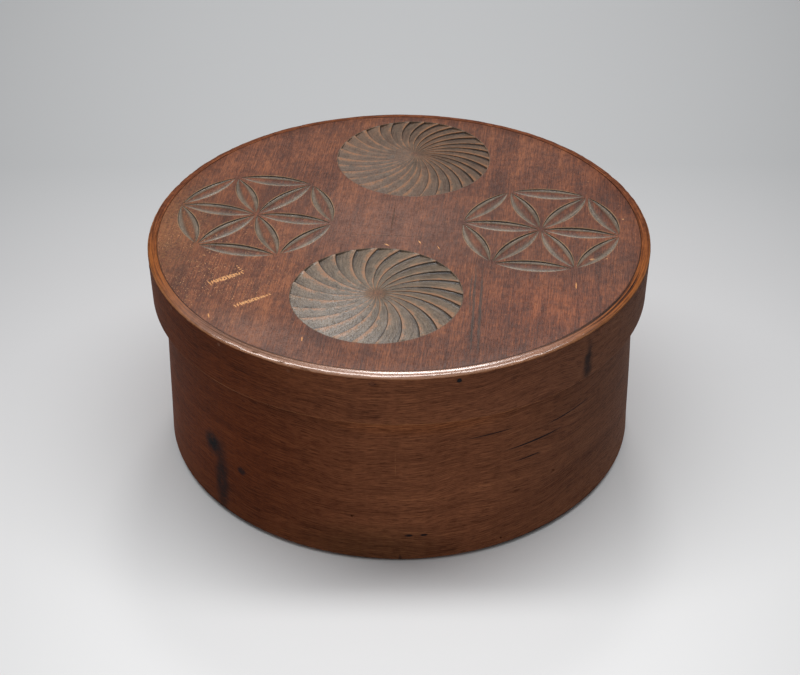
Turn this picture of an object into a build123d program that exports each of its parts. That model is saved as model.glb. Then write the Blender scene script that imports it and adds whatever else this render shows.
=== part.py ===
"""Round bentwood box: a band pegged to a bottom board, and a lid that lifts off.

Everything is in millimetres and degrees. The origin is on the floor under the middle
of the box, +Z is up, and +X runs along the lid's ornament to the right of the front,
which faces -Y.
"""
import os
from math import degrees

from build123d import *

# Lid
lid_radius = 150.0        # outer radius of the rim at its top edge
rim_depth = 33.0
rim_wall = 5.5
rim_draw_in = 1.0         # the rim is this much smaller in radius at its lower edge
lid_board_thickness = 9.0

# Box under the lid
box_height = 135.0        # with the lid on
lid_play = 2.0            # gap between the rim's lower edge and the band inside it
band_wall = 5.5
band_lean = 2.0           # how much wider in radius the band is per 100 mm further down
bottom_board_thickness = 9.0

# Worn edges
rim_top_round = 2.0
strip_edge_round = 0.8
board_edge_round = 0.5

# Half-lapped joints where the two ends of a strip meet, at the back
rim_lap_start = 78.0
rim_lap_span = 25.0
band_lap_start = 104.0
band_lap_span = 28.0
lap_gap = 0.2             # slit between the two ends

# Clearances
board_gap = 0.1           # between a board's edge and the strip round it
seat_gap = 0.2            # between the lid board and the top edge of the band
hole_gap = 0.05           # round each peg and nail in its hole

# Wooden pegs, driven through a strip into the edge of the board inside it
peg_radius = 1.1
peg_bite = 9.0            # how far a peg goes into the board
peg_sink = 0.1            # its trimmed end lies this much under the strip's surface
lid_peg_count = 20
lid_peg_start = -88.6
bottom_peg_count = 12
bottom_peg_start = -83.0

# Iron nails, driven through the laps
nail_radius = 0.8
nail_head_radius = 1.3
nail_head_thickness = 0.7
nail_point = 2.5          # length of the tapered point
nail_tip_radius = 0.2
nail_sink = 0.4           # how deep each head lies under the strip's surface
nail_cover = 0.8          # wood left between a nail's point and the inside of its strip
rim_nail_rows = 2
band_nail_rows = 4
nail_inset = 6.0          # from the ends of a column of nails to its strip's edges
nail_columns = (0.3, 0.7)   # where the columns stand along a lap

# Derived heights
rim_foot = box_height - rim_depth
lid_board_foot = box_height - lid_board_thickness
band_top = lid_board_foot - seat_gap
lid_peg_height = box_height - lid_board_thickness / 2
bottom_peg_height = bottom_board_thickness / 2

# Tools of the modelling
over = 1.0                # how far a cutter runs past the faces that it cuts
near = 0.01               # how close to a height an edge has to lie to be picked there


class Wall:
    """A cone on the Z axis, given by its radius at one height and how it widens upward."""

    def __init__(self, radius, z, widening):
        self.known_radius = radius
        self.known_z = z
        self.widening = widening

    def radius(self, z):
        return self.known_radius + self.widening * (z - self.known_z)

    def filled(self, z_low, z_high, depth, start=0.0, span=360.0):
        """The inside of the wall between two heights, or a slice of it, this deep under it."""
        cone = Cone(
            self.radius(z_low) - depth,
            self.radius(z_high) - depth,
            z_high - z_low,
            arc_size=span,
            align=Align.NONE,
        )
        return Location((0, 0, z_low), (0, 0, start)) * cone

    def layer(self, z_low, z_high, depth_from, depth_to, start=0.0, span=360.0):
        """What lies between two depths under the wall."""
        core = self.filled(z_low - over, z_high + over, depth_to)
        return self.filled(z_low, z_high, depth_from, start, span) - core


rim_outside = Wall(lid_radius, box_height, rim_draw_in / rim_depth)
band_outside = Wall(rim_outside.radius(rim_foot) - rim_wall - lid_play, rim_foot, -band_lean / 100)


def lap_slit(wall, thickness, z_low, z_high, start, span):
    """The cuts that part a strip's ends: each keeps half the thickness along the lap."""
    low = z_low - over
    high = z_high + over
    outer_layer = (thickness - lap_gap) / 2
    inner_layer = (thickness + lap_gap) / 2
    gap_angle = degrees(lap_gap / wall.radius(z_low))
    last = start + span - gap_angle
    between = wall.layer(low, high, outer_layer, inner_layer, start, span)
    opening_outside = wall.layer(low, high, -over, inner_layer, last, gap_angle)
    opening_inside = wall.layer(low, high, outer_layer, thickness + over, start, gap_angle)
    return [between, opening_outside, opening_inside]


def outer_edge(shape, z):
    """The largest circular edge at this height."""
    level = shape.edges().filter_by_position(Axis.Z, z - near, z + near)
    return level.filter_by(GeomType.CIRCLE).sort_by(SortBy.RADIUS)[-1]


def turned(*outline):
    """A body turned about the X axis from the points of its outline."""
    return revolve(make_face(Polyline(*outline, close=True)), Axis.X)


def peg(length, grow=0.0, run_out=0.0):
    """A round peg along -X from its trimmed end at the origin. Grown, it cuts its own hole."""
    tip = -length - grow
    radius = peg_radius + grow
    return turned((run_out, 0), (run_out, radius), (tip, radius), (tip, 0))


def nail(length, grow=0.0, run_out=0.0):
    """A nail along -X from its head's face at the origin. Grown, it cuts its own hole."""
    neck = -nail_head_thickness - grow
    tip = -length - grow
    taper = min(tip + nail_point, (neck + tip) / 2)
    head_radius = nail_head_radius + grow
    radius = nail_radius + grow
    return turned(
        (run_out, 0),
        (run_out, head_radius),
        (neck, head_radius),
        (neck, radius),
        (taper, radius),
        (tip, nail_tip_radius + grow),
        (tip, 0),
    )


def place(wall, angle, z, sink):
    """A frame sunk this deep under a wall, with +X outward from the axis."""
    return Rot(0, 0, angle) * Pos(wall.radius(z) - sink, 0, z)


def places_round(wall, count, start, z):
    """Places of pegs spaced evenly round a strip."""
    return [place(wall, start + 360 * i / count, z, peg_sink) for i in range(count)]


def places_in_lap(wall, start, span, rows, z_low, z_high):
    """Places of a lap's nails, in columns that stay clear of the strip's edges."""
    lowest = z_low + nail_inset
    pitch = (z_high - nail_inset - lowest) / max(rows - 1, 1)
    return [
        place(wall, start + share * span, lowest + pitch * row, nail_sink)
        for share in nail_columns
        for row in range(rows)
    ]


def set_in(places, fastener):
    """One fastener at each place, as a group of separate solids."""
    return Compound(children=[spot * fastener for spot in places])


def bored(shape, places, cutter):
    """The shape with a hole at each place."""
    return shape - [spot * cutter for spot in places]


# Pegs and nails, their holes and their places
lid_peg_length = rim_wall - peg_sink + peg_bite
bottom_peg_length = band_wall - peg_sink + peg_bite
rim_nail_length = rim_wall - nail_sink - nail_cover
band_nail_length = band_wall - nail_sink - nail_cover
lid_peg_hole = peg(lid_peg_length, hole_gap, peg_sink + over)
bottom_peg_hole = peg(bottom_peg_length, hole_gap, peg_sink + over)
rim_nail_hole = nail(rim_nail_length, hole_gap, nail_sink + over)
band_nail_hole = nail(band_nail_length, hole_gap, nail_sink + over)
lid_peg_places = places_round(rim_outside, lid_peg_count, lid_peg_start, lid_peg_height)
bottom_peg_places = places_round(
    band_outside, bottom_peg_count, bottom_peg_start, bottom_peg_height
)
rim_nail_places = places_in_lap(
    rim_outside, rim_lap_start, rim_lap_span, rim_nail_rows, rim_foot, lid_board_foot
)
band_nail_places = places_in_lap(
    band_outside, band_lap_start, band_lap_span, band_nail_rows, bottom_board_thickness, rim_foot
)


def lid_rim():
    """The bent strip round the lid board, rounded along its worn top edge."""
    shape = rim_outside.layer(rim_foot, box_height, 0, rim_wall)
    shape = fillet(outer_edge(shape, box_height), rim_top_round)
    shape = fillet(outer_edge(shape, rim_foot), strip_edge_round)
    shape -= lap_slit(rim_outside, rim_wall, rim_foot, box_height, rim_lap_start, rim_lap_span)
    shape = bored(shape, lid_peg_places, lid_peg_hole)
    return bored(shape, rim_nail_places, rim_nail_hole)


def lid_board():
    """The lid's top, flush with the rim round it."""
    shape = rim_outside.filled(lid_board_foot, box_height, rim_wall + board_gap)
    shape = fillet(outer_edge(shape, box_height), board_edge_round)
    return bored(shape, lid_peg_places, lid_peg_hole)


def body_band():
    """The bent strip that makes the side of the box and carries the lid on its top edge."""
    shape = band_outside.layer(0, band_top, 0, band_wall)
    shape = fillet(outer_edge(shape, band_top), strip_edge_round)
    shape = fillet(outer_edge(shape, 0), strip_edge_round)
    shape -= lap_slit(band_outside, band_wall, 0, band_top, band_lap_start, band_lap_span)
    shape = bored(shape, bottom_peg_places, bottom_peg_hole)
    return bored(shape, band_nail_places, band_nail_hole)


def bottom_board():
    """The floor of the box, flush with the lower edge of the band."""
    shape = band_outside.filled(0, bottom_board_thickness, band_wall + board_gap)
    return bored(shape, bottom_peg_places, bottom_peg_hole)


def save(name, shape):
    shape.label = name
    export_step(shape, f"parts/{name}.step")


os.makedirs("parts", exist_ok=True)
save("lid_board", lid_board())
save("lid_rim", lid_rim())
save("lid_pegs", set_in(lid_peg_places, peg(lid_peg_length)))
save("lid_lap_nails", set_in(rim_nail_places, nail(rim_nail_length)))
save("body_band", body_band())
save("bottom_board", bottom_board())
save("bottom_pegs", set_in(bottom_peg_places, peg(bottom_peg_length)))
save("body_lap_nails", set_in(band_nail_places, nail(band_nail_length)))
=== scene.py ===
"""The look of the round carved box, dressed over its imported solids.

Shapes are laid out in millimetres and become metres where a mesh is made. +Z is up, +X runs
to the right along the lid's ornament, and the front of the box faces -Y.
"""

import random
from collections import namedtuple
from math import asin, atan2, cos, degrees, hypot, pi, radians, sin, sqrt

import bmesh
import bpy
from mathutils import Matrix, Vector, geometry, noise


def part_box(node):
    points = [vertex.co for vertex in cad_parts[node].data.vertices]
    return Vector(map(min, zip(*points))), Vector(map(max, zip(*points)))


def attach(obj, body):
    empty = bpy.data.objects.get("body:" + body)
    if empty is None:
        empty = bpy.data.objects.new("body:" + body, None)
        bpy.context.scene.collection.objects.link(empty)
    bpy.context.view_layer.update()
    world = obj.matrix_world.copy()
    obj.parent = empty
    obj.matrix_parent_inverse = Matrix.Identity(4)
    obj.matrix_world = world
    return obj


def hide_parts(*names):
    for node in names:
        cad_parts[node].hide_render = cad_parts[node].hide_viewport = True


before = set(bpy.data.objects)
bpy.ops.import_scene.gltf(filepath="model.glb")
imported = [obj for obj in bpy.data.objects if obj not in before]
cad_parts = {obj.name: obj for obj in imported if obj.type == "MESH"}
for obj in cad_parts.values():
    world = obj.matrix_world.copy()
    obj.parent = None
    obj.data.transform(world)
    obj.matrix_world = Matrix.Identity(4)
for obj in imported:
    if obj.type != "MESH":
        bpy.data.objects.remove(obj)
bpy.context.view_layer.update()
MM = 0.001
dice = random.Random(7)


def node_box(name):
    """A CAD node's lowest and highest corners in millimetres."""
    low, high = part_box(name)
    return low / MM, high / MM


# Sizes, in millimetres and degrees
rim_low, rim_high = node_box("lid_rim")
board_low, board_high = node_box("lid_board")
band_low, band_high = node_box("body_band")
LID_TOP = rim_high.z
BOARD_RADIUS = board_high.x
BOTTOM_RADIUS = node_box("bottom_board")[1].x
RIM_RADIUS = 150.0
RIM_WALL = 5.5
BAND_WALL = 5.5
RIM_DRAW_IN = 1.0  # the rim is narrower by this at its foot
BAND_LEAN = 0.02  # the band widens by this share of each step down
RIM_LAP = (78, 103)  # where each strip's ends lap
BAND_LAP = (104, 132)
# corner roundings: outer foot, outer top, inner top, inner foot
RIM_ROUNDS = (0.8, 0.9, 0.3, 0.4)
BAND_ROUNDS = (1.3, 0.8, 0.5, 0.5)
# the rim's top is worn round outside: the radius, the width and how much that varies
RIM_WEAR = (10.5, 4.9, 0.3)
WEAR_REACH = 6.0  # the wear fades out at this depth under a strip's top
# the box stands on its bottom board: the warped band is clear of the ground by this at its
# front and back, and by this much more at its sides
FOOT_GAP = (0.7, 2.4)
FOOT_REACH = 14.0  # the lifted foot blends into the straight side by this height
SEAM_HALF_WIDTH = 0.15  # the seam where an end of a strip stops
SEAM_DEPTH = 1.2
UNEVENNESS = 0.25  # how far a strip strays from its true circle
CHIP_DEPTH = 0.4  # how deep a strip's edges are chipped
WORN_DROP = 0.9  # the worn top's colour reaches down the side by this
EDGE_WIDTH = 1.4  # the rubbed edge lines reach this far from the edge
PEG_COUNT = 20
PEG_STEP = 360 / PEG_COUNT
PEG_START = -88.6  # direction of the first peg in the rim
PEG_DROP = 4.5  # how far the pegs lie under the lid's top
PEG_HOLE = (1.13, 1.2)  # radius and depth of the mouth over each peg
BEETLE_HOLES = ((-94, 31), (-59, 6.7), (-44.5, 41))  # direction and height
BEETLE_HOLE = (0.65, 6)  # radius and depth
# bends of a surface sharper than this many degrees are shown as edges
STRIP_SHARP = 38
LID_SHARP = 32

# The photograph's view: what the camera looks at, from how far and how high
VIEW_TARGET = Vector((0.4, 0, 57.3))
VIEW_DISTANCE = 1168.9
VIEW_ELEVATION = 34.65
VIEW_ROLL = -0.2
VIEW_TURN = 7.0  # the ornament stands turned by this from the camera's own axes
FOCAL_LENGTH_PX = 1881.0
PHOTO_WIDTH_PX = 800

# The lid's ornament, as (x, y). Each rosette has a centre and six compass points.
ROSETTES = (
    ((-88, 9), ((-40.5, 4), (-60, 49), (-108, 52), (-136, 15.5), (-117.5, -29),
     (-67.5, -35.5))),
    ((84, 11), ((131.5, 9), (110.5, 53), (62.5, 54), (36.5, 14), (57.5, -29.5),
     (106.5, -30.5))),
)
PETAL_LENGTH_SHARE = 0.93  # of the distance between the compass points
PETAL_WIDTH_SHARE = 0.26
PETAL_DEPTH = 1.0
# across half a petal, from the ridge to its edge: share of the width, then of the depth,
# then how grey the wood is, how much grime and painted shade darken it, and how much raw
# wood colour it shows, which at the lip is a painted highlight on the edge
PETAL_PROFILE = (
    (0, 0.14, 0, 0.1, 0), (0.14, 0.16, 0, 0.15, 0), (0.28, 0.28, 0.1, 0.2, 0),
    (0.42, 0.52, 0.5, 0.15, 0), (0.56, 0.76, 0.85, 0, 0), (0.7, 0.93, 1, 0, 0),
    (0.82, 1, 1, 0, 0), (0.9, 0.97, 1, 0.1, 0), (0.93, 0.88, 1, 0.95, 0),
    # the raw colour at the lip is a painted highlight on the edge
    (0.97, 0.35, 1, 0.9, 0), (1, 0.02, 1, 0, 0.3), (1.06, 0, 0.5, 0, 0.15),
    (1.14, 0, 0, 0, 0),
)
WHIRLS = (
    # centre, radius, flutes, direction of the first wall at the edge, eye off centre, darkening
    ((-4.5, -70), 49.2, 24, 6.9, (0, 1), 0),
    ((-1.4, 89.4), 48.3, 30, 4, (0.8, 5), 0.2),
)
WHIRL_DEPTH = 1.2
WHIRL_CURVE_SHARE = 0.93  # radius of the arc that each flute follows, in whirl radii
WHIRL_EYE = 1.0
WHIRL_RINGS = 32
WHIRL_EDGE = 0.35  # width of the wall at the end of the flutes
WHIRL_FRINGE = 0.7  # the grey fades out over this width of the flat wood around
WHIRL_SWAY = 0.9  # how far a flute's wall strays, in degrees
# across a flute, from its crest to the next wall: share of the way, then of the depth,
# then how worn the wood is, and how much grime and painted shade darken it by the wall
FLUTE_PROFILE = (
    (0, 0, 1, 0), (0.04, 0.02, 0.95, 0), (0.12, 0.1, 0.75, 0), (0.22, 0.22, 0.5, 0),
    (0.34, 0.4, 0.25, 0), (0.48, 0.6, 0.1, 0), (0.62, 0.78, 0, 0.04), (0.76, 0.92, 0, 0.15),
    (0.87, 1, 0, 0.45), (0.925, 1, 0, 1), (0.97, 0.82, 0, 1),
)
# across half a scribed line and half a nick, as for the petals
SCRIBED_PROFILE = ((0, 1, 0.6, 0.3, 0), (0.5, 0.6, 0.3, 0.1, 0), (1, 0, 0, 0, 0))
NICK_PROFILE = ((0, 1, 0, 0, 1), (0.8, 0.4, 0, 0, 1), (1, 0, 0, 0, 0))
SCRIBED_LINES = (((-6, 32.5), (-4.4, -4.4)), ((-38.3, -7.7), (23.6, -5.4)))
SCRIBED_WIDTH = 0.9
SCRIBED_DEPTH = 0.35
# rows of small raw nicks: start, end, width of the row at its start and at its end, strokes
NICK_ROWS = (
    ((-101, -69.5), (-84.5, -56.5), 5.4, 4, 13),
    ((-84.8, -54.6), (-88.8, -49.8), 2.2, 1.4, 4),
    ((-82, -91), (-64.5, -77.2), 5.2, 2.2, 13),
)
NICK_WIDTH = 1.0
NICK_DEPTH = 0.25
# single raw nicks: start, end, width
NICKS = (
    ((-39.5, -116.5), (-38.9, -121.5), 0.9), ((-95.5, -100), (-94, -104.5), 1),
    ((107.6, -44), (108, -52), 0.9), ((12.8, -9.5), (14.6, -13.2), 1.1),
    ((24.5, -14), (26.5, -18.5), 0.7), ((-7, -15.5), (-3.5, -17.5), 1.2),
)
BOARD_BEVEL = 0.9  # the board's upper edge is eased over this width
FLAT_STEP = 5.0  # spacing of the points inside the uncut wood
CIRCLE_POINTS = 256

# Colours are linear. The lid
LID_DARK = (0.07, 0.024, 0.014)
LID_MID = (0.155, 0.05, 0.024)
LID_LIGHT = (0.27, 0.092, 0.038)
# faded greyish pink: worn wood, and also a painted sheen
LID_FADE_AND_SHEEN = (0.27, 0.16, 0.125)
HOLLOW_DARK = (0.058, 0.045, 0.031)
HOLLOW_LIGHT = (0.226, 0.172, 0.119)
# grime in the hollows, also painted shade along the carved walls
GRIME_AND_SHADE = (0.018, 0.012, 0.009)
WORN_ORANGE = (0.38, 0.16, 0.065)
WORN_GOLD = (0.3, 0.13, 0.045)
# bare wood, also a painted highlight on the petals' lips
RAW_WOOD_AND_HIGHLIGHT = (0.75, 0.38, 0.16)
STREAK_GREY = (0.048, 0.038, 0.031)
# The strips
SIDE_DARK = (0.08, 0.026, 0.012)
SIDE_MID = (0.24, 0.084, 0.039)
SIDE_LIGHT = (0.36, 0.137, 0.062)
RIM_GOLD = (0.33, 0.104, 0.026)
EDGE_GOLD = (0.34, 0.13, 0.045)
# pale colour of a painted highlight where the rim's top has polish
HIGHLIGHT_PALE = (0.42, 0.2, 0.11)
POLISH_TINT = (1.0, 0.76, 0.64)
# near black for stains and cracks, also painted shade in an empty peg's hole, along the foot and on the
# bottom board's edge
STAIN_AND_SHADE = (0.012, 0.011, 0.013)
# tints that the strips' colour is multiplied by
DEEP_TINT = (0.55, 0.36, 0.22)
DIM_TINT = (0.6, 0.66, 0.74)
SHADED_TINT = (0.85, 0.86, 0.92)
# lighter just under the rim: wear, and painted light where the rim's shade falls
RUBBED_AND_LIT_TINT = (1.35, 1.3, 1.1)
# darker low on the front of the band: painted shade near the floor
FOOT_SHADE_TINT = (0.8, 0.86, 0.82)
# The pegs, the bottom board and the nails
PEG_DARK = (0.12, 0.038, 0.017)
PEG_LIGHT = (0.24, 0.08, 0.035)
BOTTOM_DARK = (0.1, 0.045, 0.022)
BOTTOM_LIGHT = (0.3, 0.16, 0.085)
IRON = (0.03, 0.028, 0.028)
RUST = (0.1, 0.04, 0.02)

# A wood's figure: length and width of its streaks and pores, then how much its streaks,
# bands, mottle and clouds count in its tone
Figure = namedtuple("Figure", "streaks pores weights")
LID_FIGURE = Figure((28, 0.8), (5, 0.48), (0.3, 0.2, 0.25, 0.25))
STRIP_FIGURE = Figure((20, 0.35), (6.5, 0.34), (0.6, 0.2, 0.1, 0.1))
PLAIN_FIGURE = Figure((25, 0.6), (5, 0.48), (0.4, 0.3, 0.2, 0.1))

# Marks on the lid: centre and size, then what is said. Areas: turn, colour, strength, and the
# values of the speckle between which they show
# a faded patch at the lid's centre: worn wood, and a painted sheen
FADED_AND_SHEEN_AREA = ((-8, 5), (85, 75), 0, LID_FADE_AND_SHEEN, 0.4, (0.3, 0.6))
# a painted sheen on the lid by the front of the rim
PAINTED_SHEEN_AREA = ((-62, -118), (60, 24), -25, LID_FADE_AND_SHEEN, 0.4, (0.35, 0.55))
GOLDEN_AREA = ((-140, -15), (42, 95), 0, WORN_GOLD, 0.6, (0.4, 0.6))
SPECKED_AREA = ((-110, -50), (85, 110))
# tints that the lid's colour is multiplied by
LID_TINTS = (
    ((125, 55), (70, 95), (0.76, 0.64, 0.54)), ((-115, 10), (65, 110), (0.9, 0.82, 0.72)),
    ((0, 125), (120, 50), (0.85, 0.82, 0.76)), ((95, -75), (80, 60), (1.08, 0.95, 0.88)),
    ((-88, -72), (60, 60), (1.16, 1.14, 1.06)),
)
# raw scuffs between the small nicks, with their turn
SCUFFS = (((-92.7, -63), (10.5, 2.4), 38), ((-73.2, -84.1), (11, 1.9), 38))
# long grey streaks beside the front whirl, all turned alike
GREY_STREAKS = (((51.5, -78), (1, 56)), ((55.5, -80), (1.1, 50)), ((48.5, -62), (0.5, 30)))
STREAK_TURN = 3.0
# pale chips and scuffs, with their turn
PALE_MARKS = (
    ((116.4, -18.5), (2.6, 1.3), 10), ((124, -17.5), (1.2, 0.9), 40),
    ((110, -18.5), (0.9, 0.8), 0), ((132.6, 28.8), (1.3, 0.7), 30),
    ((119.7, 23), (0.8, 1.8), 20), ((-12.1, -25.4), (0.7, 6.5), -12),
)

# Marks on a strip: (direction, height) and size, then a tint, a stain's strength, or a crack's
# or scratch's turn. Heights over the strip's top lie further in on its upper edge. golden is
# the strength of the rubbed edge lines. The polish spot also carries a pale painted highlight,
# and some dark marks are painted shade: in an empty peg's hole and along the lifted foot.
Marks = namedtuple("Marks", "golden polished gilt tints stains cracks scratches")
LARGE_STAIN = 5  # stains over this size have drifting outlines
RIM_MARKS = Marks(
    golden=0.9,
    polished=((-91, 120), (200, 210)),
    gilt=(((-22, 137), (130, 40)), ((-156, 137), (75, 40))),
    tints=(
        ((-138, 118), (150, 150), DEEP_TINT), ((-15, 118), (140, 140), DIM_TINT),
        ((-55, 118), (70, 70), SHADED_TINT),
    ),
    stains=(
        # the mark at -70.6 is painted shade in the hole of the missing peg
        ((-38, 113), (5.5, 20), 0.85), ((-70.6, 130.5), (1.9, 1.7), 1),
        ((-88.6, 130.5), (3, 1.6), 0.5),
    ),
    cracks=(
        ((-34, 140.3), (70, 1.4), 0), ((-112, 140.3), (50, 1), 0),
        ((-118, 138.4), (48, 0.6), 0), ((-24, 138.2), (45, 0.6), 0.5),
        ((-115, 137.2), (3.4, 0.8), 8), ((-108.5, 136), (3.6, 0.5), 4),
        ((-103, 135.4), (4.2, 0.6), -3), ((-75, 136.2), (6, 0.4), 2),
    ),
    scratches=(),
)
BAND_MARKS = Marks(
    golden=0.7,
    polished=((-91, 120), (190, 190)),
    gilt=(),
    tints=(
        ((-138, 60), (150, 150), DEEP_TINT), ((-15, 60), (150, 150), DIM_TINT),
        ((-78, 97), (75, 9), RUBBED_AND_LIT_TINT), ((-90, 10), (60, 22), FOOT_SHADE_TINT),
    ),
    stains=(
        ((-133, 47), (11, 11), 1), ((-130, 22), (9, 42), 0.8), ((-123, 40), (4, 3.5), 0.8),
        ((-83, 1), (1.2, 5), 0.9), ((-81, 19.4), (3, 1.1), 1), ((-77.5, 19.4), (2.7, 1), 1),
    ),
    cracks=(
        ((-50.5, 70), (25, 0.8), 1), ((-52, 60), (10, 0.6), 1), ((-40, 78), (22, 0.6), 1.5),
        # the two long marks low on the foot, at -141 and -36, are painted shadow of the gap under the
        # lifted foot
        ((-62, 84), (18, 0.5), 0.5), ((-141, 0.6), (85, 2.4), 0), ((-36, 0.6), (85, 2.4), 0),
    ),
    scratches=(((-84, 70), (0.4, 12), 0),),
)

# The studio, seen from the camera's side. The floor: half its width in metres, and its shades
# between the near and the far end, in millimetres, painted as the light's fall-off to the back
FLOOR_HALF = 6.0
FLOOR_NEAR, FLOOR_FAR = -240, 640
FLOOR_SHADES = (
    (0, (0.86, 0.86, 0.86)), (0.25, (0.69, 0.69, 0.695)), (0.45, (0.585, 0.585, 0.59)),
    (0.7, (0.475, 0.48, 0.485)), (1, (0.465, 0.47, 0.475)),
)
# painted fall-off of the light to the sides: by these shares, near and far, at this distance aside
FLOOR_ASIDE = 300
FLOOR_LOSS_NEAR, FLOOR_LOSS_FAR = 0.26, 0.13
FLOOR_MOST_LOSS = 0.4
# soft boxes: name, place and size in metres, power, and how far each leans from straight down
LIGHTS = (
    ("key", (-0.12, 0.25, 1.85), (3.1, 0.36), 31.5, 0),
    ("sheen", (0.12, 1.85, 2.3), (0.5, 0.5), 11, -41),
)
ROOM_COLOUR = (0.97, 0.98, 1)
ROOM_LOW, ROOM_HIGH = 0.03, 0.555
HORIZON_GLOW = 0.12


def turned_by(angle, x, y):
    """The point turned about the origin."""
    return (
        x * cos(radians(angle)) - y * sin(radians(angle)),
        x * sin(radians(angle)) + y * cos(radians(angle)),
    )


def circle(radius):
    turns = [2 * pi * i / CIRCLE_POINTS for i in range(CIRCLE_POINTS)]
    return [(radius * cos(turn), radius * sin(turn)) for turn in turns]


def between_points(start, end, share):
    return (start[0] + share * (end[0] - start[0]), start[1] + share * (end[1] - start[1]))


def distance(start, end):
    return hypot(end[0] - start[0], end[1] - start[1])


def smoothed(mesh, sharp_angle):
    """The mesh, shaded smooth except over sharp edges."""
    mesh.shade_smooth()
    mesh.set_sharp_from_angle(angle=radians(sharp_angle))
    return mesh


def finished_mesh(name, built, sharp_angle):
    """A mesh in metres from a bmesh in millimetres."""
    bmesh.ops.scale(built, vec=(MM, MM, MM), verts=built.verts)
    mesh = bpy.data.meshes.new(name)
    built.to_mesh(mesh)
    built.free()
    return smoothed(mesh, sharp_angle)


def new_object(name, data):
    made = bpy.data.objects.new(name, data)
    bpy.context.collection.objects.link(made)
    return made


def dressed(name, mesh, material, body, node_name):
    """A piece that rides on a body, stands for a CAD node and takes its finish from a slot."""
    piece = new_object(name, mesh)
    mesh.materials.clear()
    mesh.materials.append(material)
    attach(piece, body)
    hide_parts(node_name)


class Nodes:
    """Makes and links the nodes of a shader's tree."""

    def __init__(self, tree):
        self.tree = tree

    def feed(self, socket, value):
        """Links a socket, or sets a plain value."""
        if isinstance(value, bpy.types.NodeSocket):
            self.tree.links.new(value, socket)
        elif isinstance(value, tuple) and len(value) == 3 and socket.type == "RGBA":
            socket.default_value = (*value, 1.0)
        else:
            socket.default_value = value

    def node(self, kind, settings=(), **inputs):
        made = self.tree.nodes.new("ShaderNode" + kind)
        for key, value in dict(settings).items():
            setattr(made, key, value)
        for key, value in inputs.items():
            self.feed(made.inputs[key], value)
        return made

    def operation(self, kind, name, values):
        """A number or vector operation on sockets or plain values."""
        made = self.node(kind, {"operation": name})
        for socket, value in zip(made.inputs, values):
            self.feed(socket, value)
        return made.outputs

    def math(self, name, *values):
        return self.operation("Math", name, values)[0]

    def vector_math(self, name, *values):
        return self.operation("VectorMath", name, values)

    def times(self, result, *others):
        for other in others:
            result = self.math("MULTIPLY", result, other)
        return result

    def plus(self, result, *others):
        for other in others:
            result = self.math("ADD", result, other)
        return result

    def stretch(self, vector, scale=(1, 1, 1), turn=0, shift=(0, 0, 0)):
        turns = (0, 0, radians(turn))
        made = self.node("Mapping", Vector=vector, Scale=scale, Rotation=turns, Location=shift)
        return made.outputs[0]

    def split(self, vector):
        return self.node("SeparateXYZ", Vector=vector).outputs

    def noise(self, vector, scale, detail=3, rough=0.55, bend=0, output="Fac"):
        made = self.node(
            "TexNoise", Vector=vector, Scale=scale, Detail=detail, Roughness=rough,
            Distortion=bend,
        )
        return made.outputs[output]

    def warped(self, vector, scale, reach):
        """The place shifted to and fro by up to about this many millimetres."""
        shift = self.noise(vector, scale, rough=0.5, output="Color")
        centred = self.vector_math("SUBTRACT", shift, (0.5, 0.5, 0.5))[0]
        return self.vector_math("MULTIPLY_ADD", centred, (2 * reach, 2 * reach, 0), vector)[0]

    def between(self, value, low, high, from_low=0, to_high=1):
        """Smoothly maps low..high to from_low..to_high."""
        ends = {"From Min": low, "From Max": high, "To Min": from_low, "To Max": to_high}
        smooth = {"interpolation_type": "SMOOTHSTEP"}
        return self.node("MapRange", smooth, Value=value, **ends).outputs[0]

    def ramp(self, value, *stops):
        """A colour ramp from (position, colour) stops."""
        made = self.node("ValToRGB", Fac=value)
        elements = made.color_ramp.elements
        while len(elements) < len(stops):
            elements.new(1)
        for element, (position, colour) in zip(elements, stops):
            element.position = position
            element.color = (*colour, 1)
        return made.outputs["Color"]

    def mix(self, share, first, second, blend="MIX"):
        made = self.node("Mix", {"data_type": "RGBA", "blend_type": blend})
        sockets = {each.identifier: each for each in (*made.inputs, *made.outputs)}
        self.feed(sockets["Factor_Float"], share)
        self.feed(sockets["A_Color"], first)
        self.feed(sockets["B_Color"], second)
        return sockets["Result_Color"]

    def spot(self, vector, centre, size, turn=0, soft=1):
        """One inside a turned ellipse on the first two coordinates, nothing outside it."""
        moved = self.stretch(vector, shift=(-centre[0], -centre[1], 0))
        level = self.stretch(moved, turn=-turn)
        local = self.stretch(level, (1 / size[0], 1 / size[1], 0))
        length = self.vector_math("LENGTH", local)["Value"]
        return self.between(length, 1.0 - soft, 1, 1, 0)


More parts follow.
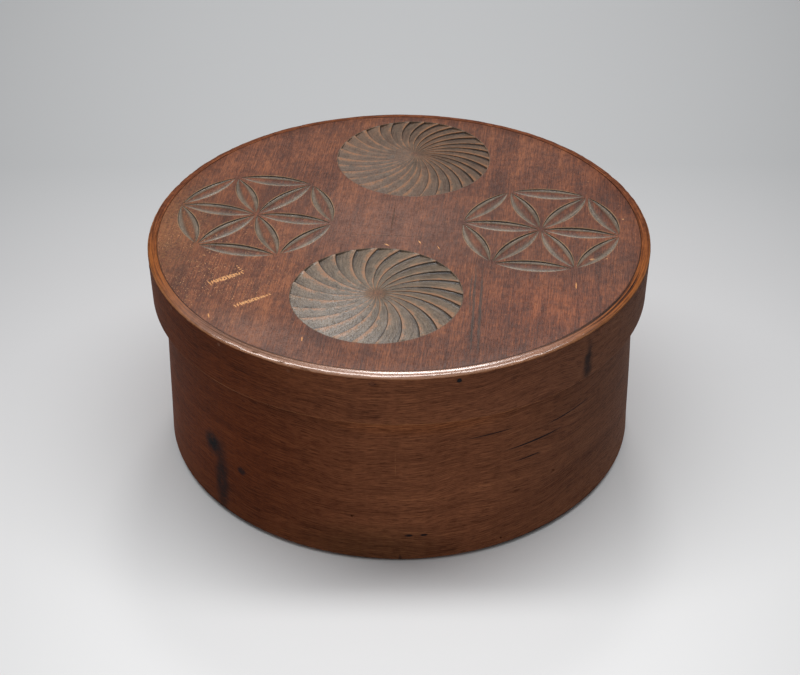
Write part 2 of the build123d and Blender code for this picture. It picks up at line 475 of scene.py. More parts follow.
class Surface(Nodes):
    """A material whose colour is laid on in layers. Its places are in millimetres."""

    def __init__(self, name):
        self.material = bpy.data.materials.new(name)
        self.material.use_nodes = True
        super().__init__(self.material.node_tree)
        self.tree.nodes.clear()
        self.shader = self.node("BsdfPrincipled")
        out = self.node("OutputMaterial")
        self.tree.links.new(self.shader.outputs["BSDF"], out.inputs["Surface"])
        self.colour = None

    def set(self, name, value):
        """Feeds one of the shader's own inputs."""
        self.feed(self.shader.inputs[name], value)

    def lay(self, colour, *shares, blend="MIX"):
        """Lays another colour over what is there, by the product of its shares."""
        self.colour = self.mix(self.times(*shares), self.colour, colour, blend)

    def place(self):
        """Position in the model, in millimetres."""
        where = self.node("TexCoord").outputs["Object"]
        return self.stretch(where, (1 / MM, 1 / MM, 1 / MM))

    def unrolled(self, uv_map):
        """Place on an unrolled surface, in millimetres."""
        where = self.node("UVMap", {"uv_map": uv_map}).outputs["UV"]
        return self.stretch(where, (1 / MM, 1 / MM, 1 / MM))

    def attribute(self, name):
        return self.node("Attribute", {"attribute_name": name}).outputs["Fac"]

    def wood_figure(self, grain, figure):
        """Tone, pore mask and relief of a wood whose grain runs along X."""
        long, thin = 1 / figure.streaks[0], 1 / figure.streaks[1]
        streaks = self.noise(self.stretch(grain, (long, thin, thin)), 1, 4, 0.65)
        bands = self.noise(self.stretch(grain, (0.007, 0.12, 0.12)), 1, 3, 0.5, 0.6)
        mottle = self.noise(grain, 0.3, 4, 0.7)
        clouds = self.noise(grain, 0.022, 3, 0.6)
        tone = 0.0
        for part, weight in zip((streaks, bands, mottle, clouds), figure.weights):
            tone = self.plus(self.times(part, weight), tone)
        long, thin = 1 / figure.pores[0], 1 / figure.pores[1]
        pores = self.noise(self.stretch(grain, (long, thin, thin), shift=(5, 9, 2)), 1, 2, 0.5)
        pores = self.between(pores, 0.54, 0.61)
        return tone, pores, self.plus(self.times(streaks, 0.6), self.times(pores, -0.6))

    def finish(self, roughness, relief, bump_mm):
        """Connects the surface; its relief is in shares of bump_mm."""
        self.set("Base Color", self.colour)
        self.set("Roughness", roughness)
        bump = self.node("Bump", Height=relief, Distance=bump_mm * MM, Strength=1.0)
        self.set("Normal", bump.outputs[0])
        return self.material


class LidWood(Surface):
    """Reddish brown wood, greyed in the carved hollows and rubbed orange on their crests."""

    def __init__(self, name):
        super().__init__(name)
        self.at = self.place()
        grain = self.stretch(self.at, turn=-90)
        tone, self.pores, self.relief = self.wood_figure(grain, LID_FIGURE)
        self.fine = self.noise(self.stretch(grain, (0.09, 2.2, 2.2)), 1, 2, 0.6)
        self.tone = self.plus(self.times(tone, 0.8), self.times(self.fine, 0.2))
        self.speckle = self.noise(self.at, 0.9, 4, 0.7)
        self.grit = self.noise(self.stretch(self.at, (1, 0.6, 1)), 1.3, 3, 0.6)
        strokes_at = self.stretch(self.unrolled("Tool"), (0.08, 1.1, 1))
        self.strokes = self.noise(strokes_at, 1, 4, 0.65)
        self.grey = self.attribute("grey")
        self.ground()
        self.marks()
        self.carving()

    def area(self, centre, size, turn, colour, strength, speckle):
        """A soft area of another colour, broken up by the speckle."""
        broken = self.between(self.speckle, *speckle)
        self.lay(colour, self.spot(self.at, centre, size, turn), broken, strength)

    def ground(self):
        """The uncut wood: its figure, faded areas and painted sheen, golden areas, tints and dark
        smudges.
        """
        self.colour = self.ramp(self.tone, (0.43, LID_DARK), (0.5, LID_MID), (0.57, LID_LIGHT))
        self.lay(LID_DARK, self.pores, 0.35)
        self.area(*FADED_AND_SHEEN_AREA)
        self.area(*PAINTED_SHEEN_AREA)
        for centre, size, tint in LID_TINTS:
            self.lay(tint, self.spot(self.at, centre, size), blend="MULTIPLY")
        smudges = self.noise(self.at, 0.09, 5, 0.7)
        self.lay(LID_DARK, self.between(smudges, 0.36, 0.5, 0.45, 0))
        self.area(*GOLDEN_AREA)
        flakes = self.noise(self.at, 0.55, 5, 0.75)
        self.lay(WORN_ORANGE, self.between(flakes, 0.61, 0.68), 0.6)

    def marks(self):
        """Raw specks and scuffs, long grey streaks and pale chips, at their places."""
        specks = self.between(self.grit, 0.6, 0.67)
        gathered = self.between(self.noise(self.at, 0.07, 3), 0.35, 0.5)
        self.lay(RAW_WOOD_AND_HIGHLIGHT, specks, self.spot(self.at, *SPECKED_AREA), gathered, 0.7)
        for centre, size, turn in SCUFFS:
            scuff = self.spot(self.at, centre, size, turn, soft=0.4)
            self.lay(RAW_WOOD_AND_HIGHLIGHT, scuff, self.between(self.grit, 0.44, 0.56), 0.85)
        wavering = self.warped(self.at, 0.1, 0.7)
        broken = self.between(self.fine, 0.3, 0.6, 0.9, 0.6)
        for centre, size in GREY_STREAKS:
            self.lay(STREAK_GREY, self.spot(wavering, centre, size, STREAK_TURN, soft=0.5), broken)
        ragged = self.warped(self.at, 0.4, 1.5)
        for centre, size, turn in PALE_MARKS:
            self.lay(RAW_WOOD_AND_HIGHLIGHT, self.spot(ragged, centre, size, turn), 0.8)

    def carving(self):
        """Grey hollows with worn orange crests, grime and painted shade along their walls, and bare
        fresh cuts.
        """
        crest = self.attribute("crest")
        patches = self.noise(self.at, 0.13, 4, 0.65)
        # the hollows are painted lighter towards the crests, as painted light on the flutes
        tone = self.plus(
            self.times(self.strokes, 0.4), self.times(self.speckle, 0.3), self.times(crest, 0.12),
            self.times(patches, 0.3),
        )
        hollow = self.ramp(tone, (0.4, HOLLOW_DARK), (0.6, HOLLOW_LIGHT))
        self.lay(hollow, self.between(self.grey, 0, 1), 0.9)
        wear = self.plus(crest, self.times(patches, 3), self.times(self.speckle, 0.8))
        near_crest = self.between(crest, 0.05, 0.5)
        speckled = self.between(self.speckle, 0.3, 0.6, 0.25, 0.7)
        self.lay(WORN_ORANGE, self.between(wear, 2.2, 2.8), near_crest, speckled)
        # grime, and painted shade along the carved walls
        self.lay(GRIME_AND_SHADE, self.attribute("dirt"), 0.85)
        # raw wood in fresh cuts, and a painted highlight on the petals' lips
        self.lay(RAW_WOOD_AND_HIGHLIGHT, self.attribute("raw"), self.between(self.speckle, 0.3, 0.5, 0.4))

    def finished(self):
        """Satin wood, glossier where the grey hollows are rubbed."""
        rubbed = self.between(self.grey, 0.7, 1)
        rough = self.plus(
            self.between(self.tone, 0.35, 0.65, 0.42, 0.52),
            self.times(self.between(self.speckle, 0.4, 0.7), 0.08),
            self.times(rubbed, -0.14),
        )
        self.set("Specular IOR Level", self.between(rubbed, 0, 1, 0.4, 0.8))
        relief = self.plus(
            self.relief, self.times(self.speckle, 0.5), self.times(self.strokes, self.grey, 2)
        )
        return self.finish(rough, relief, 0.1)


class StripWood(Surface):
    """Dark brown wood of a bent strip, with its grain along its length."""

    def __init__(self, name, strip, marks):
        super().__init__(name)
        self.strip = strip
        self.at = self.unrolled("Grain")
        self.blotch = self.noise(self.at, 0.25, 4, 0.65)
        self.streaks = self.noise(self.stretch(self.at, (0.04, 1.1, 1)), 1, 4, 0.65)
        self.side(marks)
        self.worn_top(marks)
        self.stains(marks)
        self.cracks = self.cracked_and_shaded(marks)
        self.polish = self.polished(marks)

    def spot_on(self, where, size, turn=0, soft=1, at=None):
        """A spot at a direction and height on the strip."""
        at = self.at if at is None else at
        return self.spot(at, on_strip(self.strip, *where), size, turn, soft)

    def side(self, marks):
        """The strip's own wood, its grain lines swaying to and fro, darker at some places and lighter
        under the rim; some of these tints are painted light and shade.
        """
        sway = self.noise(self.stretch(self.at, (0.008, 0.01, 1)), 1, 2)
        across = self.times(self.plus(sway, -0.5), 30)
        shift = self.node("CombineXYZ", Y=across).outputs[0]
        grain = self.vector_math("ADD", self.at, shift)[0]
        tone, pores, self.relief = self.wood_figure(grain, STRIP_FIGURE)
        self.colour = self.ramp(tone, (0.38, SIDE_DARK), (0.5, SIDE_MID), (0.62, SIDE_LIGHT))
        self.lay(SIDE_DARK, pores, 0.65)
        for where, size, tint in marks.tints:
            self.lay(tint, self.spot_on(where, size, soft=0.8), blend="MULTIPLY")

    def worn_top(self, marks):
        """The worn top in the lid's colours, gilt in places, and rubbed lines on the edges."""
        ragged = self.times(self.plus(self.blotch, self.streaks, -1), 0.8)
        self.top = self.between(self.plus(self.attribute("worn"), ragged), 0.35, 0.6)
        tone = self.plus(self.times(self.streaks, 0.6), self.times(self.blotch, 0.4))
        self.lay(self.ramp(tone, (0.38, LID_DARK), (0.5, LID_MID), (0.6, LID_LIGHT)), self.top)
        streaky = self.between(self.streaks, 0.4, 0.55, 0.3, 0.9)
        for where, size in marks.gilt:
            self.lay(RIM_GOLD, self.spot_on(where, size), streaky, self.top)
        rubbed = self.between(self.plus(self.attribute("edge"), ragged), 0.35, 0.75)
        self.lay(EDGE_GOLD, rubbed, marks.golden)

    def stains(self, marks):
        drifting = self.warped(self.at, 0.12, 3)
        uneven = self.between(self.blotch, 0.35, 0.5, 0.6)
        for where, size, strength in marks.stains:
            if max(size) > LARGE_STAIN:
                stain = self.spot_on(where, size, soft=0.8, at=drifting)
            else:
                stain = self.spot_on(where, size, soft=0.5)
            self.lay(STAIN_AND_SHADE, stain, uneven, strength)

    def cracked_and_shaded(self, marks):
        """Lays on the dark crack marks, some of them painted shadow along the foot, and the pale
        scratches, and returns the dark marks' masks.
        """
        uneven = self.between(self.streaks, 0.36, 0.5, 0.6)
        cracks = []
        for where, size, turn in marks.cracks:
            cracks.append(self.times(self.spot_on(where, size, turn, soft=0.5), uneven))
            self.lay(STAIN_AND_SHADE, cracks[-1])
        broken = self.between(self.blotch, 0.35, 0.6)
        for where, size, turn in marks.scratches:
            self.lay(WORN_ORANGE, self.spot_on(where, size, turn), broken, 0.7)
        return cracks

    def polished(self, marks):
        """Lays a pale painted highlight on the part of the top with polish, lines the rest darkly, and
        returns the polish.
        """
        polish = self.times(self.top, self.spot_on(*marks.polished))
        # a pale painted highlight where the top has polish
        self.lay(HIGHLIGHT_PALE, polish, 0.55)
        lines = self.noise(self.stretch(self.at, (0.012, 1.5, 1)), 1, 3, 0.6)
        unpolished = self.plus(self.top, self.times(polish, -0.8))
        self.lay(SIDE_DARK, self.between(lines, 0.54, 0.6), unpolished, 0.8)
        for crack in self.cracks:
            polish = self.times(polish, self.math("SUBTRACT", 1, crack))
        return polish

    def finished(self):
        """Dull wood, with a coat of polish over the most handled part of its top."""
        rough = self.between(self.polish, 0, 0.6, 0.65, 0.26)
        self.set("Specular IOR Level", self.between(self.polish, 0, 0.6, 0.07, 0.9))
        self.set("Coat Weight", self.times(self.polish, self.between(self.streaks, 0.3, 0.44)))
        self.set("Specular Tint", POLISH_TINT)
        self.set("Coat Roughness", 0.15)
        self.set("Coat IOR", 1.75)
        worn_flat = self.plus(self.times(self.polish, -0.6), 1)
        figure = self.times(self.relief, worn_flat)
        relief = self.plus(figure, self.times(self.streaks, self.top, 0.15))
        return self.finish(rough, relief, 0.12)


def plain_wood(name, dark, light, hole_shade_spot=None, shade_beyond_radius=None):
    """Bare wood of the bottom board and the pegs, painted black as shade at one spot, for an empty peg
    hole, or outside a radius, for the board's edge seen under the foot.
    """
    wood = Surface(name)
    place = wood.place()
    tone, pores, relief = wood.wood_figure(place, PLAIN_FIGURE)
    wood.colour = wood.ramp(tone, (0.35, dark), (0.65, light))
    wood.lay(dark, pores, 0.5)
    if hole_shade_spot:
        wood.lay(STAIN_AND_SHADE, wood.spot(place, *hole_shade_spot, soft=0.3))
    if shade_beyond_radius:
        inside = wood.spot(place, (0, 0), (shade_beyond_radius, shade_beyond_radius), soft=0.08)
        wood.colour = wood.mix(inside, STAIN_AND_SHADE, wood.colour)
    wood.set("Specular IOR Level", 0.15)
    return wood.finish(wood.between(tone, 0.3, 0.75, 0.6, 0.75), relief, 0.15)


def rusty_iron():
    """Dark hand-made iron with brown rust in patches."""
    metal = Surface("rusty_iron")
    patches = metal.noise(metal.place(), 1.2, 5, 0.65)
    metal.colour = metal.ramp(patches, (0.4, IRON), (0.62, RUST))
    metal.set("Metallic", 0.6)
    return metal.finish(metal.between(patches, 0.35, 0.65, 0.5, 0.85), patches, 0.08)


# A strip bent into a ring, with lapped ends: the heights of its foot and top, its radius
# there, and the step in which its section is divided; unworn and with no gap unless said
Strip = namedtuple(
    "Strip", "foot top radius_foot radius_top wall lap rounds step wear gap",
    defaults=((1.0, 0.0, 0.0), (0.0, 0.0)),
)


def on_strip(strip, angle, height):
    """A place on a strip's unrolled face; its upper edge follows above its top."""
    angle %= 360
    if angle < strip.lap[1]:
        angle += 360
    return (radians(angle) * strip.radius_top, height - strip.foot)


def divided(points, step):
    """The closed loop with its long sides cut into steps."""
    result = []
    for here, there in zip(points, points[1:] + points[:1]):
        parts = max(1, round(distance(here, there) / step))
        result += [between_points(here, there, i / parts) for i in range(parts)]
    return result


def section(strip):
    """Points round a strip's section as (depth under the outer face, height over the foot)."""
    foot_out, top_out, top_in, foot_in = strip.rounds
    tall = strip.top - strip.foot
    corner_steps = 5
    corners = (
        (foot_out, foot_out, foot_out, -90),
        (top_out, tall - top_out, top_out, 180),
        (strip.wall - top_in, tall - top_in, top_in, 90),
        (strip.wall - foot_in, foot_in, foot_in, 0),
    )
    points = []
    for depth, height, radius, start in corners:
        for i in range(corner_steps + 1):
            turn = radians(start - 90 * i / corner_steps)
            points.append((depth + radius * cos(turn), height + radius * sin(turn)))
    return divided(points, strip.step)


def worn_away(depth, height, tall, radius, width):
    """How far a strip's worn top falls away towards its outer face."""
    near_top = min(1.0, max(0.0, 1 - (tall - height) / WEAR_REACH))
    inside = min(max(0.0, width - depth), 0.9 * radius)
    return (radius - sqrt(radius ** 2 - inside ** 2)) * near_top


def edge_share(depth, height, edge_height):
    """How close a point of a strip's section is to one of its outer edges."""
    return max(0.0, 1 - hypot(depth - 0.3, height - edge_height) / EDGE_WIDTH)


def ring_noise(angle, height, scale, seed):
    """Smooth noise round a ring, from -1 to 1, with no seam."""
    at = Vector((cos(radians(angle)) * scale, sin(radians(angle)) * scale, seed + height * 0.02))
    return noise.noise(at)


def strip_angles(strip):
    """The directions of a strip's sections: each degree, and its lap's seams."""
    lap_start, lap_end = strip.lap
    seam = degrees(SEAM_HALF_WIDTH / strip.radius_top)
    angles = {lap_end + i for i in range(360)}
    angles |= {lap_end + seam, lap_end + 360 - seam}
    angles |= {lap_start + 360 - seam, lap_start + 360, lap_start + 360 + seam}
    return sorted(angles)


def seam_depth(strip, angle, depth):
    """The depth of a point of the section, pushed in where an end of the strip stops."""
    lap_start, lap_end = strip.lap
    if angle == lap_end and depth < strip.wall / 2:
        return max(depth, SEAM_DEPTH)
    if angle == lap_start + 360 and depth > strip.wall / 2:
        return min(depth, strip.wall - SEAM_DEPTH)
    return depth


def strip_points(strip, outline, angle):
    """The section at one direction: each point's place, how worn it is, and how near an edge."""
    tall = strip.top - strip.foot
    rounding, worn_width, uneven = strip.wear
    strays = ring_noise(angle, 0, 3.0, 21.0) + ring_noise(angle, 0, 11.0, 7.0)
    worn_to = worn_width + uneven * strays
    edge_height = tall - worn_away(0.0, tall, tall, rounding, worn_to)
    raised = strip.gap[0] + strip.gap[1] * abs(cos(radians(angle - VIEW_TURN)))
    ragged = 0.4 * ring_noise(angle, 0, 9.0, 11.0) + 0.9 * ring_noise(angle, 0, 34.0, 5.0)
    points = []
    for depth, flat_height in outline:
        height = flat_height - worn_away(depth, flat_height, tall, rounding, worn_to)
        radius = strip.radius_foot + height / tall * (strip.radius_top - strip.radius_foot)
        stray = UNEVENNESS * (ring_noise(angle, height, 1.6, 3.0) - 0.6)
        near_edge = edge_share(depth, height, edge_height)
        chip = CHIP_DEPTH * near_edge * max(0.0, ragged + 0.15)
        far = radius - seam_depth(strip, angle, depth) + stray - chip
        lifted = raised * max(0.0, 1 - height / FOOT_REACH)
        level = strip.foot + height - chip + lifted
        worn = min(1.0, max(0.0, height - edge_height + WORN_DROP))
        place = (far * cos(radians(angle)), far * sin(radians(angle)), level)
        points.append((place, worn, max(near_edge, edge_share(depth, height, 0.0))))
    return points


def bent_strip(name, strip):
    """The strip's mesh, unrolled in its Grain map, with the seams of its lap as grooves."""
    outline = section(strip)
    angles = strip_angles(strip)
    built = bmesh.new()
    grain = built.loops.layers.uv.new("Grain")
    worn_layer = built.verts.layers.float.new("worn")
    edge_layer = built.verts.layers.float.new("edge")
    rows = []
    for angle in angles:
        row = []
        for place, worn, near_edge in strip_points(strip, outline, angle):
            vertex = built.verts.new(place)
            vertex[worn_layer] = worn
            vertex[edge_layer] = near_edge
            row.append(vertex)
        rows.append(row)
    around = [0.0]
    for here, there in zip(outline, outline[1:] + outline[:1]):
        around.append(around[-1] + distance(here, there))
    count = len(outline)
    for i, row in enumerate(rows):
        next_row = rows[(i + 1) % len(rows)]
        next_angle = angles[i + 1] if i + 1 < len(angles) else angles[0] + 360
        for j in range(count):
            k = (j + 1) % count
            face = built.faces.new((row[j], next_row[j], next_row[k], row[k]))
            corners = (
                (angles[i], around[j]), (next_angle, around[j]),
                (next_angle, around[j + 1]), (angles[i], around[j + 1]),
            )
            for loop, (angle, across) in zip(face.loops, corners):
                loop[grain].uv = (radians(angle) * strip.radius_top * MM, across * MM)
    bmesh.ops.recalc_face_normals(built, faces=built.faces)
    return finished_mesh(name, built, STRIP_SHARP)


def drilled(mesh, places, outer, hole):
    """The mesh with round holes at (direction, height) places; hole is their radius and depth."""
    radius, depth = hole
    proud = 2.0
    cutters = bmesh.new()
    for angle, height in places:
        middle = Matrix.Translation((outer - depth / 2 + proud / 2, 0, height))
        lying = Matrix.Rotation(radians(angle), 4, "Z") @ middle @ Matrix.Rotation(radians(90), 4, "Y")
        bmesh.ops.create_cone(
            cutters, cap_ends=True, segments=20, radius1=radius, radius2=radius,
            depth=depth + proud, matrix=lying,
        )
    cutter = new_object("cutter", finished_mesh("cutter", cutters, STRIP_SHARP))
    target = new_object("target", mesh)
    change = target.modifiers.new("holes", "BOOLEAN")
    change.object = cutter
    change.solver = "EXACT"
    changed = target.evaluated_get(bpy.context.evaluated_depsgraph_get())
    shape = bpy.data.meshes.new_from_object(changed)
    shape.name = mesh.name
    bpy.data.objects.remove(target)
    bpy.data.objects.remove(cutter)
    return smoothed(shape, STRIP_SHARP)


# A point of the carved top: how deep it is cut, how grey and worn the wood is, how much grime and
# painted shade darken it, and how much raw colour it has, at the petals' lips a painted highlight
Cut = namedtuple("Cut", "x y depth grey crest dirt raw", defaults=(0.0,) * 5)


class CarvedTop:
    """Gathers the patches sunk into the lid's top, and their outlines."""

    def __init__(self):
        self.built = bmesh.new()
        self.marks = {name: self.built.verts.layers.float.new(name) for name in Cut._fields[3:]}
        self.tool = self.built.loops.layers.uv.new("Tool")
        self.outlines = []

    def vertex(self, cut):
        made = self.built.verts.new((cut.x, cut.y, LID_TOP - cut.depth))
        for name, layer in self.marks.items():
            made[layer] = getattr(cut, name)
        return made

    def skin(self, rows, closed, strokes=None):
        """Faces between rows of cuts; strokes gives each cut's place along the tool's path."""
        grid = [[self.vertex(cut) for cut in row] for row in rows]
        count = len(rows[0])
        for i in range(len(rows) - 1):
            for j in range(count if closed else count - 1):
                k = (j + 1) % count
                face = self.built.faces.new((grid[i][j], grid[i][k], grid[i + 1][k], grid[i + 1][j]))
                if strokes:
                    places = (strokes(i, j), strokes(i, j + 1), strokes(i + 1, j + 1), strokes(i + 1, j))
                    for loop, at in zip(face.loops, places):
                        loop[self.tool].uv = (at[0] * MM, at[1] * MM)

    def hollow(self, start, end, width, depth, profile):
        """A leaf-shaped hollow from point to point."""
        length = distance(start, end)
        angle = degrees(atan2(end[1] - start[1], end[0] - start[0]))
        half = length / 2
        bulge = width / 2
        arc = (half * half + bulge * bulge) / (2 * bulge)
        steps = max(4, min(24, round(length / 2)))
        across = [(-each[0], *each[1:]) for each in reversed(profile[1:])] + list(profile)
        rows = []
        for i in range(steps + 1):
            along = -half * cos(pi * i / steps)
            wide = max(0.0, sqrt(arc * arc - along * along) - (arc - bulge))
            fall = depth * max(0.0, 1 - (along / half) ** 2) ** 0.6
            row = []
            for share, part, grey, dirt, raw in across:
                dx, dy = turned_by(angle, along + half, wide * share)
                marks = () if i in (0, steps) else (grey, 0.0, dirt, raw)
                row.append(Cut(start[0] + dx, start[1] + dy, fall * part, *marks))
            rows.append(row)
        shift = dice.uniform(0, 500)
        self.skin(rows, False, lambda i, j: (shift + i * length / steps, across[j][0] * bulge))
        left = [row[0][:2] for row in rows]
        right = [row[-1][:2] for row in rows[1:-1]]
        self.outlines.append(left + right[::-1])

    def whirl(self, centre, radius, flutes, first, eye, darkening):
        """Curved flutes that fan out from an eye, each rising to a crest beside the next wall."""
        depths = [WHIRL_DEPTH * dice.uniform(0.85, 1.15) for _ in range(flutes)]
        shifts = [dice.uniform(-WHIRL_SWAY, WHIRL_SWAY) for _ in range(flutes)]
        wears = [dice.uniform(0.65, 1.1) for _ in range(flutes)]
        arc = WHIRL_CURVE_SHARE * radius
        rows = []
        for i in range(WHIRL_RINGS + 1):
            far = WHIRL_EYE + (radius - WHIRL_EDGE - WHIRL_EYE) * i / WHIRL_RINGS
            swing = degrees(asin(radius / (2 * arc)) - asin(far / (2 * arc)))
            fade = min(1.0, max(0.0, far / radius - 0.05) * 1.1) ** 0.8
            grey = min(1.0 - 1.8 * darkening, 0.35 + far / 14)
            lean = 1 - far / radius
            row = []
            for k in range(flutes):
                width = 360 / flutes + shifts[(k + 1) % flutes] - shifts[k]
                for share, part, worn, dirt in FLUTE_PROFILE:
                    angle = radians(first + 360 / flutes * k + shifts[k] + share * width + swing)
                    row.append(Cut(
                        centre[0] + far * cos(angle) + eye[0] * lean,
                        centre[1] + far * sin(angle) + eye[1] * lean,
                        depths[k] * fade * part, grey, worn * wears[k], max(dirt * fade, darkening),
                    ))
            rows.append(row)
        rows += self.whirl_edge(rows[-1], centre, radius)

        def stroke(i, j):
            k, part = divmod(j, len(FLUTE_PROFILE))
            across = FLUTE_PROFILE[part][0] * pi * radius / flutes
            return (i * radius / WHIRL_RINGS + 61 * (k % flutes), across)

        self.skin(rows, True, stroke)
        self.built.faces.new([self.vertex(cut) for cut in rows[0]])
        self.outlines.append([cut[:2] for cut in rows[-1]])

    def whirl_edge(self, last_row, centre, radius):
        """Two rings round a whirl: its own edge, and where its grey ends."""
        rings = []
        for out, grey in ((0.0, 0.8), (WHIRL_FRINGE, 0.0)):
            ring = []
            for cut in last_row:
                away = Vector((cut.x - centre[0], cut.y - centre[1])).normalized() * (radius + out)
                ring.append(Cut(centre[0] + away.x, centre[1] + away.y, 0.0, grey))
            rings.append(ring)
            last_row = ring
        return rings

    def flat(self, radius, step):
        """The uncut wood between the hollows, out to this radius."""
        points = []
        loops = []
        for loop in [circle(radius)] + self.outlines:
            loops.append(list(range(len(points), len(points) + len(loop))))
            points += loop
        reach = int(radius / step)
        for i in range(-reach, reach + 1):
            for j in range(-reach, reach + 1):
                at = (i * step + (j % 2) * step / 2, j * step)
                if hypot(*at) < radius - step:
                    points.append(at)
        coordinates = [Vector(point) for point in points]
        result = geometry.delaunay_2d_cdt(coordinates, [], loops, 0, 1e-6, True)
        flat_points, _, triangles, _, _, owners = result
        vertices = [self.vertex(Cut(point.x, point.y)) for point in flat_points]
        for triangle, owner in zip(triangles, owners):
            if owner == [0]:
                self.built.faces.new([vertices[i] for i in triangle])

    def walls(self, radius, board_radius, low):
        """The eased upper edge, the side and the underside of the board."""
        rings = (
            # radius, depth, how dark the joint is
            (radius, 0.0, 0.0), (radius + 0.3, 0.1, 0.5), (board_radius - 0.02, 0.7, 1.0),
            (board_radius - 0.05, LID_TOP - low, 1.0),
        )
        rows = [[Cut(x, y, depth, dirt=dirt) for x, y in circle(r)] for r, depth, dirt in rings]
        self.skin(rows, True)
        self.built.faces.new([self.vertex(cut) for cut in rows[-1]])

    def mesh(self, name):
        bmesh.ops.remove_doubles(self.built, verts=self.built.verts, dist=0.002)
        bmesh.ops.dissolve_degenerate(self.built, edges=self.built.edges, dist=0.001)
        bmesh.ops.recalc_face_normals(self.built, faces=self.built.faces)
        return finished_mesh(name, self.built, LID_SHARP)


def rosette(top, centre, points):
    """Twelve petals: six from the centre to the compass points, six from point to point."""
    pairs = [(centre, point) for point in points]
    pairs += list(zip(points, points[1:] + points[:1]))
    for start, end in pairs:
        gap = (1 - PETAL_LENGTH_SHARE * dice.uniform(0.98, 1.02)) / 2
        first = between_points(start, end, gap)
        last = between_points(end, start, gap)
        width = distance(first, last) * PETAL_WIDTH_SHARE * dice.uniform(0.95, 1.05)
        top.hollow(first, last, width, PETAL_DEPTH * dice.uniform(0.85, 1.15), PETAL_PROFILE)


def nick_row(top, start, end, width_start, width_end, strokes):
    """Small strokes of bare wood side by side, leaning to and fro."""
    along = Vector(end) - Vector(start)
    across = Vector((-along.y, along.x)).normalized()
    ahead = along.normalized()
    for i in range(strokes):
        share = i / (strokes - 1)
        width = (width_start + share * (width_end - width_start)) * dice.uniform(0.75, 1.1)
        middle = Vector(start) + along * share
        half = across * width / 2 + ahead * (0.4 if i % 2 else -0.2)
        top.hollow(middle - half, middle + half, NICK_WIDTH, NICK_DEPTH, NICK_PROFILE)


def carved_lid():
    top = CarvedTop()
    for centre, points in ROSETTES:
        rosette(top, centre, points)
    for each in WHIRLS:
        top.whirl(*each)
    for start, end in SCRIBED_LINES:
        top.hollow(start, end, SCRIBED_WIDTH, SCRIBED_DEPTH, SCRIBED_PROFILE)
    for each in NICK_ROWS:
        nick_row(top, *each)
    for start, end, width in NICKS:
        top.hollow(start, end, width, NICK_DEPTH, NICK_PROFILE)
    edge = BOARD_RADIUS - BOARD_BEVEL
    top.flat(edge, FLAT_STEP)
    top.walls(edge, BOARD_RADIUS, board_low.z)
    return top.mesh("carved_board")


def lid_board():
    wood = LidWood("lid_wood").finished()
    dressed("carved_board", carved_lid(), wood, "lid", "lid_board")


def lid_rim():
    strip = Strip(
        rim_low.z, LID_TOP, rim_high.x - RIM_DRAW_IN, rim_high.x, RIM_WALL, RIM_LAP, RIM_ROUNDS,
        step=0.6, wear=RIM_WEAR,
    )
    pegs = [(PEG_START + PEG_STEP * i, LID_TOP - PEG_DROP) for i in range(PEG_COUNT)]
    mesh = drilled(bent_strip("bent_rim", strip), pegs, RIM_RADIUS, PEG_HOLE)
    wood = StripWood("rim_wood", strip, RIM_MARKS).finished()
    dressed("bent_rim", mesh, wood, "lid", "lid_rim")


def body_band():
    radius_foot = band_high.x
    radius_top = radius_foot - BAND_LEAN * (band_high.z - band_low.z)
    strip = Strip(
        band_low.z, band_high.z, radius_foot, radius_top, BAND_WALL, BAND_LAP, BAND_ROUNDS,
        step=1.2, gap=FOOT_GAP,
    )
    mesh = drilled(bent_strip("bent_band", strip), BEETLE_HOLES, radius_foot, BEETLE_HOLE)
    wood = StripWood("band_wood", strip, BAND_MARKS).finished()
    dressed("bent_band", mesh, wood, "box", "body_band")


def cad_pieces():
    """Materials for the solids that show as they are: pegs, nails and bottom board."""
    empty_peg = turned_by(PEG_START + PEG_STEP, RIM_RADIUS, 0.0)
    iron = rusty_iron()
    materials = {
        # the peg in the empty hole is painted black as shade
        "lid_pegs": plain_wood("peg_wood", PEG_DARK, PEG_LIGHT, hole_shade_spot=(empty_peg, (4, 4))),
        "bottom_pegs": plain_wood("foot_peg_wood", SIDE_DARK, SIDE_MID),
        "lid_lap_nails": iron,
        "body_lap_nails": iron,
        # the board's edge is painted black as shade, seen in the gap under the foot
        "bottom_board": plain_wood(
            "bottom_wood", BOTTOM_DARK, BOTTOM_LIGHT, shade_beyond_radius=BOTTOM_RADIUS
        ),
    }
    for node_name, material in materials.items():
        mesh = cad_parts[node_name].data
        for i in range(len(mesh.materials)):
            mesh.materials[i] = material


def paper_floor():
    """A large pale sheet, painted darker to the back and the sides as the light falls off."""
    paper = Surface("paper")
    level = paper.stretch(paper.place(), turn=-VIEW_TURN)
    across, depth, _ = paper.split(level)
    back = paper.between(depth, FLOOR_NEAR, FLOOR_FAR)
    aside = paper.times(across, 1 / FLOOR_ASIDE)
    share = paper.plus(paper.times(back, FLOOR_LOSS_FAR - FLOOR_LOSS_NEAR), FLOOR_LOSS_NEAR)
    loss = paper.math("MINIMUM", paper.times(aside, aside, share), FLOOR_MOST_LOSS)
    paper.set("Base Color", paper.mix(loss, paper.ramp(back, *FLOOR_SHADES), (0.0, 0.0, 0.0)))
    paper.set("Roughness", 0.9)
    paper.set("Specular IOR Level", 0.1)
    mesh = bpy.data.meshes.new("paper_floor")
    corners = [(-1, -1), (1, -1), (1, 1), (-1, 1)]
    mesh.from_pydata([(x * FLOOR_HALF, y * FLOOR_HALF, 0) for x, y in corners], [], [(0, 1, 2, 3)])
    mesh.materials.append(paper.material)
    new_object("paper_floor", mesh)


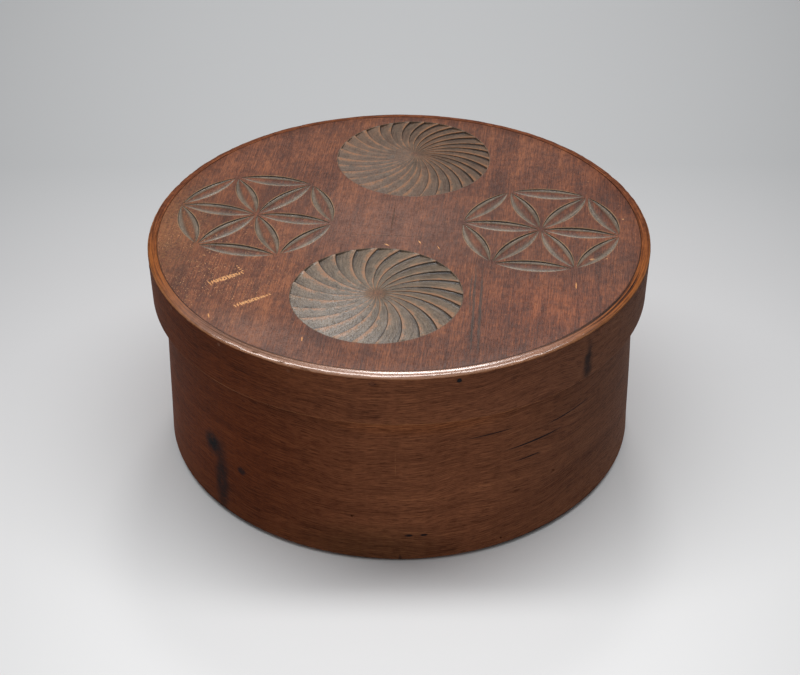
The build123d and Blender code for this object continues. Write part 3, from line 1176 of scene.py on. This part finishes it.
def area_light(name, at, size, power, lean):
    """A soft box, placed by the camera's directions."""
    light = bpy.data.lights.new(name, "AREA")
    light.shape = "RECTANGLE"
    light.size, light.size_y = size
    light.energy = power
    lamp = new_object(name, light)
    turn = Matrix.Rotation(radians(VIEW_TURN), 4, "Z")
    lamp.matrix_world = turn @ Matrix.Translation(at) @ Matrix.Rotation(radians(lean), 4, "X")


def dim_room():
    """A room that is bright overhead, and whose pale horizon shows but lights nothing."""
    world = bpy.data.worlds.new("studio")
    world.use_nodes = True
    room = Nodes(world.node_tree)
    sky = room.tree.nodes["Background"]
    room.feed(sky.inputs["Color"], ROOM_COLOUR)
    tall = room.split(room.node("TexCoord").outputs["Generated"])["Z"]
    light = room.between(tall, 0.3, 0.8, ROOM_LOW, ROOM_HIGH)
    ray = room.node("LightPath").outputs
    seen = 0
    for kind in ("Is Camera Ray", "Is Glossy Ray", "Is Transmission Ray"):
        seen = room.math("MAXIMUM", seen, ray[kind])
    horizon = room.times(seen, room.between(tall, 0.05, 0.35, HORIZON_GLOW, 0.0))
    room.feed(sky.inputs["Strength"], room.plus(light, horizon))
    bpy.context.scene.world = world


def photo_camera():
    """The photograph's own view, fitted to the outlines of the lid, the rim and the band."""
    up_tilt = radians(VIEW_ELEVATION)
    back = Vector((0, -cos(up_tilt), sin(up_tilt)))
    right = Vector((1, 0, 0))
    up = back.cross(right)
    roll = Matrix.Rotation(radians(VIEW_ROLL), 3, back)
    turn = Matrix.Rotation(radians(VIEW_TURN), 3, "Z")
    axes = [turn @ roll @ axis for axis in (right, up, back)]
    at = turn @ (VIEW_TARGET + back * VIEW_DISTANCE) * MM
    camera = bpy.data.cameras.new("camera")
    camera.sensor_width = 36
    camera.lens = FOCAL_LENGTH_PX * camera.sensor_width / PHOTO_WIDTH_PX
    view = new_object("camera", camera)
    view.matrix_world = Matrix(
        [(*[axis[row] for axis in axes], at[row]) for row in range(3)] + [(0, 0, 0, 1)]
    )
    bpy.context.scene.camera = view


lid_board()
lid_rim()
body_band()
cad_pieces()
paper_floor()
for each_light in LIGHTS:
    area_light(*each_light)
dim_room()
photo_camera()
bpy.context.scene.view_settings.view_transform = "Standard"
